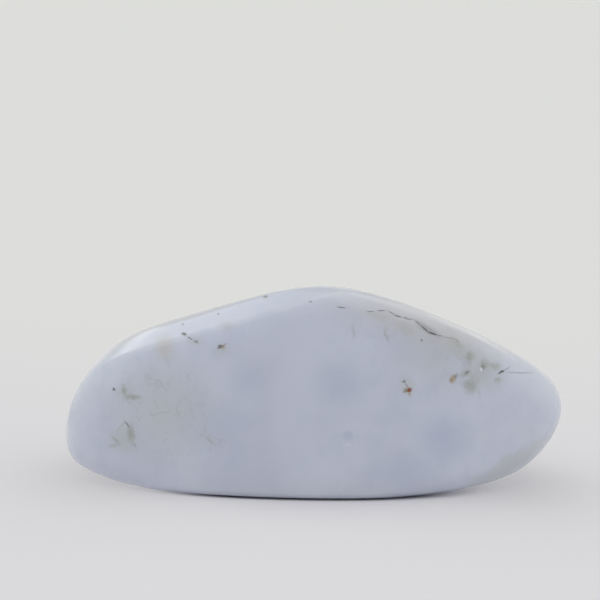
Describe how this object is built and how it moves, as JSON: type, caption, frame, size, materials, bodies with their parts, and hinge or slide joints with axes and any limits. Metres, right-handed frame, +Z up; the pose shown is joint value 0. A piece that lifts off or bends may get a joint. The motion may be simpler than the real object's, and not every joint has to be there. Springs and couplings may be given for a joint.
{
  "type": "agate palm stone",
  "caption": "Polished pale blue agate palm stone, oval in plan, with an upright front wall, a peaked top, a blunt end, a narrower end and a flat patch to rest on.",
  "frame": {"origin": "point on the resting plane, below the middle of the stone's length and depth", "axes": "+X along the length towards the narrower end, +Z up, the wall shown in the picture looks towards -Y"},
  "size_m": [0.067, 0.0494, 0.0278],
  "materials": {
    "agate": "polished"
  },
  "bodies": {
    "root": {"palm_stone": "agate"}
  },
  "joints": []
}
